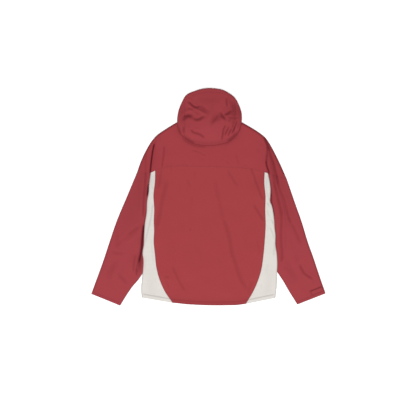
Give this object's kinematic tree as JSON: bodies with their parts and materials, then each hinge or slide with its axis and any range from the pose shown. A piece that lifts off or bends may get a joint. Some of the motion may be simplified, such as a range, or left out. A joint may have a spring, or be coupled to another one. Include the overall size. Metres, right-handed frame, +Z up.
{
  "type": "shell jacket",
  "caption": "Hooded shell jacket laid face down with its sleeves spread, in red cloth with pale side panels, a closed front zip and a cuff tab.",
  "frame": {"origin": "on the surface that the jacket lies on, under the centre of its bounding box", "axes": "+X across the jacket from its left cuff to its right cuff, +Y from the hem to the hood, +Z up from the surface, so the jacket's back faces +Z and its zip faces -Z"},
  "size_m": [0.9352, 0.8689, 0.0397],
  "materials": {
    "shell_red": "matte brick-red shell cloth, fine weave",
    "shell_cream": "matte off-white shell cloth, fine weave",
    "zip_tape": "woven red tape",
    "zip_chain": "dark moulded teeth",
    "zip_metal": "dark satin enamel on cast metal"
  },
  "bodies": {
    "jacket": {"back_panel": "shell_red", "yoke_back": "shell_red", "side_left": "shell_cream", "side_right": "shell_cream", "front_left": "shell_red", "front_right": "shell_red", "sleeve_left": "shell_red", "sleeve_right": "shell_red", "hood_centre": "shell_red", "hood_left": "shell_red", "hood_right": "shell_red", "cuff_tab": "shell_red", "zip_tape_left": "zip_tape", "zip_tape_right": "zip_tape", "zip_chain": "zip_chain", "zip_box": "zip_metal", "zip_slider": "zip_metal"},
    "pull": {"zip_pull": "zip_metal"}
  },
  "joints": [
    {"name": "pull_turn", "type": "hinge", "parent": "jacket", "child": "pull", "pos_m": [0.00475, 0.2714, 0.0021], "axis": [1, 0, 0], "range_deg": [0, 175]}
  ]
}
